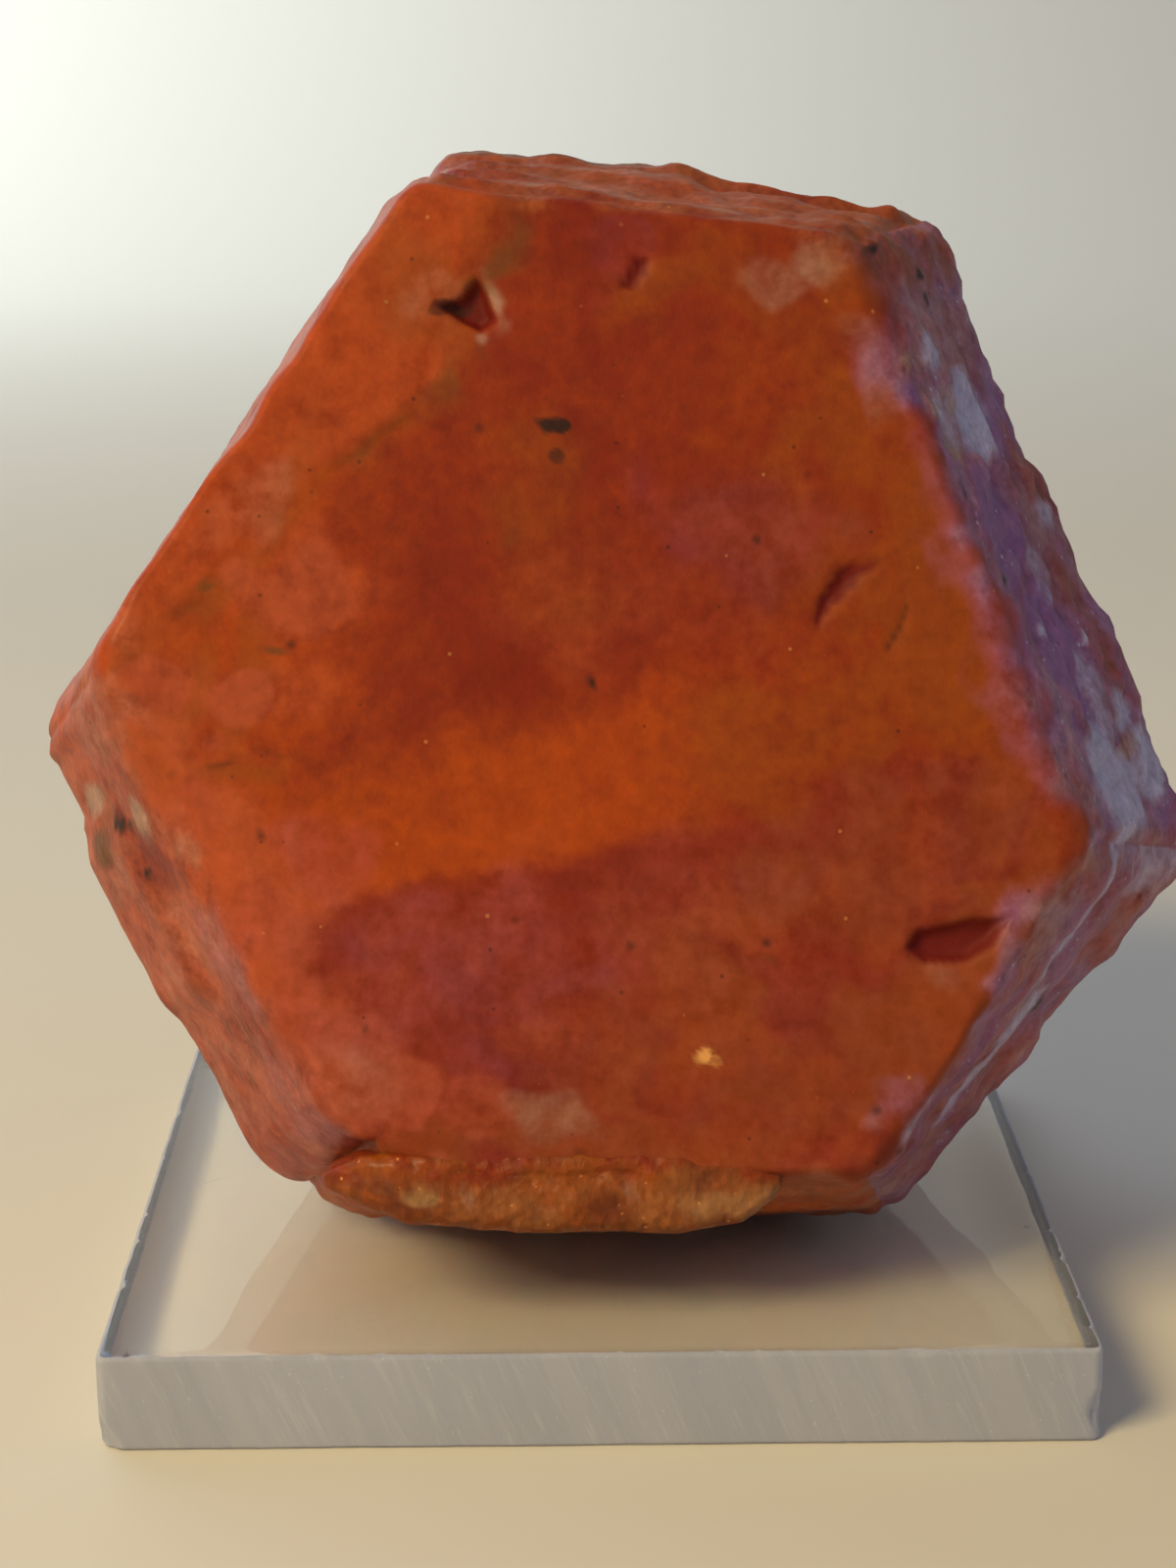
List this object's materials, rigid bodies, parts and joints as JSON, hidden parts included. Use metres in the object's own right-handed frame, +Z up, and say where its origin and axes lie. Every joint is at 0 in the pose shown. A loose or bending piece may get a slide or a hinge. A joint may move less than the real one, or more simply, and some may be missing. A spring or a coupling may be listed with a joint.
{
  "type": "rough ruby crystal on an acrylic base",
  "caption": "Rough hexagonal ruby crystal with a broad flat front face and flaring stepped sides, leaning back on a clear square acrylic plate.",
  "frame": {"origin": "centre of the acrylic plate's underside", "axes": "+Z up from the surface it stands on; the crystal's broad front face looks towards -Y and leans back; +X to the viewer's right"},
  "size_m": [0.063, 0.052, 0.0614],
  "materials": {
    "ruby": "natural rough corundum, translucent orange red with a greasy lustre",
    "acrylic": "clear cast acrylic, polished faces and sawn matt edges"
  },
  "bodies": {
    "root": {"ruby_crystal": "ruby", "acrylic_base": "acrylic"}
  },
  "joints": []
}
